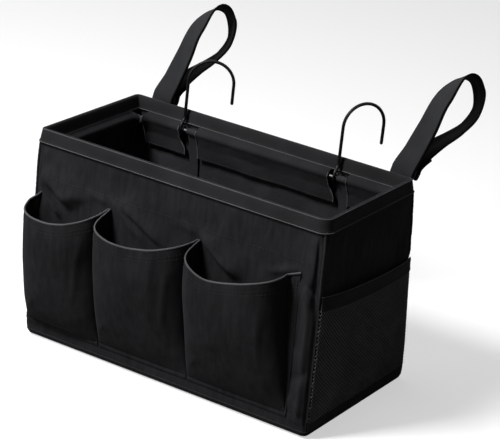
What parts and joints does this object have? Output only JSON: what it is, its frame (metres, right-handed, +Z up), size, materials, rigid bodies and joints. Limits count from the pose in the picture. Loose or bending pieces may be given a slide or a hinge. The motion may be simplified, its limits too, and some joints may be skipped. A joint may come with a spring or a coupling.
{
  "type": "hanging bedside caddy",
  "caption": "Open-topped cloth caddy with stiffened walls, bellows pockets in front, net pockets on the ends, wire hooks and webbing straps to hang it on a bed rail.",
  "frame": {"origin": "middle of the underside of the base", "axes": "+X along the caddy's length, -Y out of the front with the bellows pockets, +Z up"},
  "size_m": [0.3517, 0.2304, 0.291],
  "materials": {
    "cloth": "black oxford weave, matte with a faint sheen",
    "lining": "black plain weave lining, matte",
    "binding": "black woven binding tape, matte",
    "webbing": "black ribbed webbing, matte",
    "net": "black open net",
    "tape": "black hook-and-loop pile",
    "board": "plain grey-brown fibreboard",
    "hook_wire": "black coated wire, semi-gloss",
    "frame_wire": "bright drawn steel wire"
  },
  "bodies": {
    "caddy": {"base_panel": "cloth", "front_panel": "cloth", "back_panel": "cloth", "left_end_panel": "cloth", "right_end_panel": "cloth", "corner_piping_back_right": "binding", "corner_piping_back_left": "binding", "corner_piping_front_left": "binding", "corner_piping_front_right": "binding", "front_board": "board", "back_board": "board", "left_board": "board", "right_board": "board", "base_board": "board", "lining": "lining", "rim_binding": "binding", "support_frame": "frame_wire", "sleeve_front": "lining", "sleeve_left_end": "lining", "sleeve_right_end": "lining", "sleeve_back_left": "lining", "sleeve_back_middle": "lining", "sleeve_back_right": "lining", "load_strip_left": "webbing", "load_strip_right": "webbing", "pocket_left": "cloth", "pocket_left_lip": "binding", "pocket_middle": "cloth", "pocket_middle_lip": "binding", "pocket_right": "cloth", "pocket_right_lip": "binding", "left_net_hem": "binding", "left_net": "net", "left_net_band": "binding", "right_net_hem": "binding", "right_net": "net", "right_net_band": "binding", "left_strap_tail": "webbing", "right_strap_tail": "webbing"},
    "left_hook": {"hook_left": "hook_wire"},
    "right_hook": {"hook_right": "hook_wire"},
    "left_strap_front_leg": {"left_strap_riser": "webbing", "left_strap_loop_tape": "tape"},
    "left_strap_back_leg": {"left_strap_return": "webbing", "left_strap_hook_tape": "tape", "left_strap_end_fold": "webbing"},
    "right_strap_front_leg": {"right_strap_riser": "webbing", "right_strap_loop_tape": "tape"},
    "right_strap_back_leg": {"right_strap_return": "webbing", "right_strap_hook_tape": "tape", "right_strap_end_fold": "webbing"}
  },
  "joints": [
    {"name": "left_hook_fold", "type": "hinge", "parent": "caddy", "child": "left_hook", "pos_m": [-0.09, 0.0658, 0.177], "axis": [1, 0, 0], "range_deg": [0, 170]},
    {"name": "right_hook_fold", "type": "hinge", "parent": "caddy", "child": "right_hook", "pos_m": [0.07695, 0.0658, 0.177], "axis": [1, 0, 0], "range_deg": [0, 170]},
    {"name": "left_strap_lean", "type": "hinge", "parent": "caddy", "child": "left_strap_front_leg", "pos_m": [-0.12195, 0.0775, 0.195], "axis": [-1, 0, 0], "range_deg": [-10, 45], "stiffness_Nm_per_rad": 0.15},
    {"name": "left_strap_open", "type": "hinge", "parent": "left_strap_front_leg", "child": "left_strap_back_leg", "pos_m": [-0.08255, 0.10458, 0.28886], "axis": [0.7449, -0.6639, 0.066], "range_deg": [0, 140]},
    {"name": "right_strap_lean", "type": "hinge", "parent": "caddy", "child": "right_strap_front_leg", "pos_m": [0.13695, 0.0775, 0.195], "axis": [-1, 0, 0], "range_deg": [-10, 45], "stiffness_Nm_per_rad": 0.15},
    {"name": "right_strap_open", "type": "hinge", "parent": "right_strap_front_leg", "child": "right_strap_back_leg", "pos_m": [0.17635, 0.10458, 0.28886], "axis": [0.7449, -0.6639, 0.066], "range_deg": [0, 140]}
  ]
}
